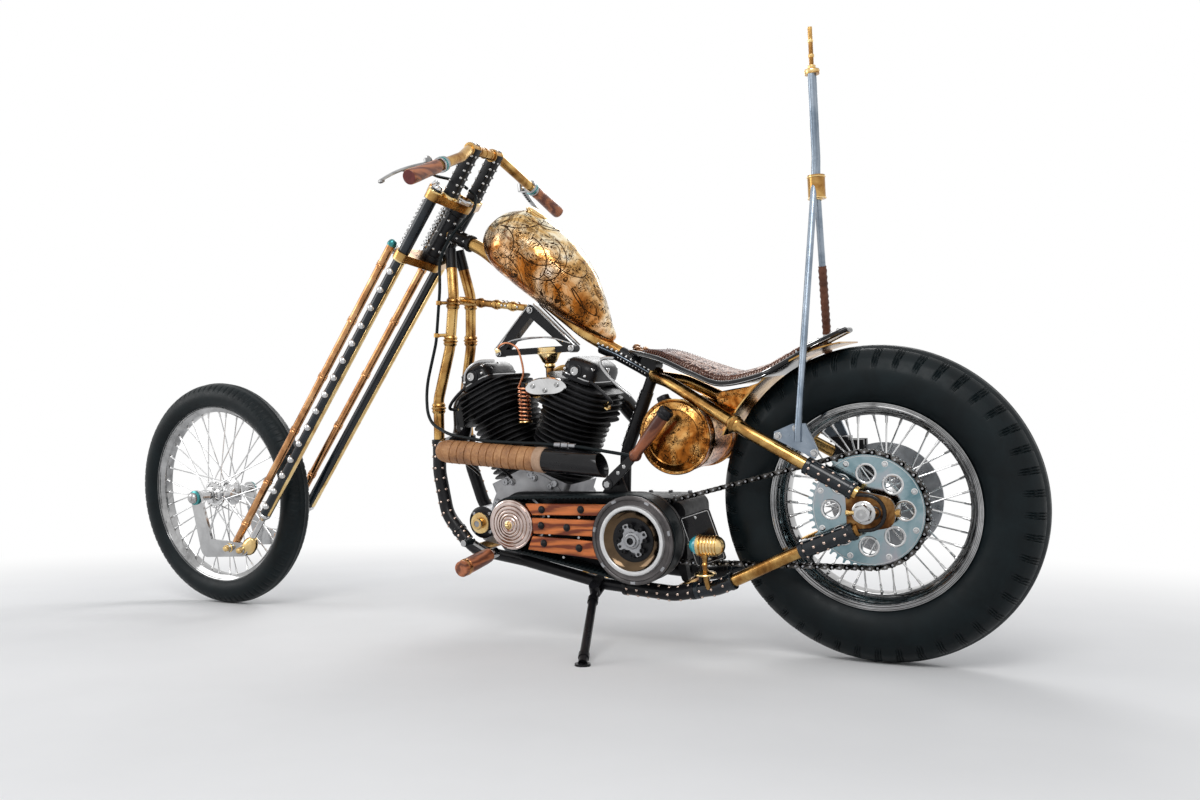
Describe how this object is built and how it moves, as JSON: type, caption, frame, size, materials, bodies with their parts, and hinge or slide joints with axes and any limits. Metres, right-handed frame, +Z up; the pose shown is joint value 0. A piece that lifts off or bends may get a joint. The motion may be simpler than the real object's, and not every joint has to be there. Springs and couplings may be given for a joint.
{
  "type": "chopper motorcycle",
  "caption": "Long custom chopper with a springer fork, a vee engine, an open belt primary and brass frame tubes, leaning on its side stand.",
  "frame": {"origin": "bottom centre of the leaning machine's box, on the ground", "axes": "+X forward, +Y to the machine's left, +Z up; the machine leans 7 degrees to its left"},
  "size_m": [2.7029, 0.7532, 1.3723],
  "materials": {
    "tyre": "satin",
    "chrome": "polished",
    "steel": "worn",
    "chain_steel": "oiled",
    "brass": "aged",
    "black": "satin",
    "cast": "satin",
    "wood": "oiled",
    "copper": "aged",
    "belt": "matt",
    "leather": "waxed"
  },
  "bodies": {
    "frame": {"headstock": "black", "backbone": "brass", "downtubes": "brass", "lower_rails": "brass", "chain_stays": "brass", "seat_stays": "brass", "axle_plates": "brass", "rear_axle": "chrome", "seat_post": "black", "crankcase": "cast", "cylinders": "black", "generator": "cast", "top_mount": "black", "cross_tubes": "brass", "intake": "brass", "ignition_coil": "copper", "gearbox": "black", "primary_plate": "black", "primary_slats": "wood", "primary_belt": "belt", "front_pulley": "chrome", "clutch": "cast", "final_chain": "chain_steel", "oil_tank": "brass", "fuel_tank": "brass", "rear_fender": "brass", "seat": "leather", "seat_bracket": "black", "sissy_legs": "steel", "sissy_mast": "brass", "exhausts": "leather", "hand_shifter": "black", "foot_controls": "steel", "number_plate": "black", "tail_lamp": "brass", "clutch_cable": "belt", "rear_caliper": "black"},
    "rear_wheel": {"rear_tyre": "tyre", "rear_wheel": "chrome", "rear_sprocket": "steel", "rear_brake_disc": "steel"},
    "fork": {"fork_rear_legs": "black", "fork_front_legs": "brass", "lower_crown": "brass", "upper_crown": "brass", "spring_bridge": "chrome", "fork_springs": "chrome", "rockers": "steel", "front_axle": "chrome", "risers": "black", "handlebar": "brass", "grips": "wood", "levers": "chrome", "lever_cable": "belt"},
    "front_wheel": {"front_tyre": "tyre", "front_wheel": "chrome"},
    "side_stand": {"side_stand": "black"}
  },
  "joints": [
    {"name": "rear_wheel_turns", "type": "hinge", "parent": "frame", "child": "rear_wheel", "pos_m": [-1.0085, -0.08311, 0.34097], "axis": [0, 0.9925, -0.1219], "continuous": true},
    {"name": "steering", "type": "hinge", "parent": "frame", "child": "fork", "pos_m": [0.0955, 0.00299, 1.04217], "axis": [-0.6293, 0.0947, 0.7714], "range_deg": [-30, 30]},
    {"name": "front_wheel_turns", "type": "hinge", "parent": "fork", "child": "front_wheel", "pos_m": [1.0065, -0.08289, 0.34274], "axis": [0, 0.9925, -0.1219], "continuous": true},
    {"name": "side_stand_swings", "type": "hinge", "parent": "frame", "child": "side_stand", "pos_m": [-0.3785, 0.03226, 0.13182], "axis": [0.0958, -0.5035, -0.8586], "range_deg": [0, 108.5]}
  ]
}
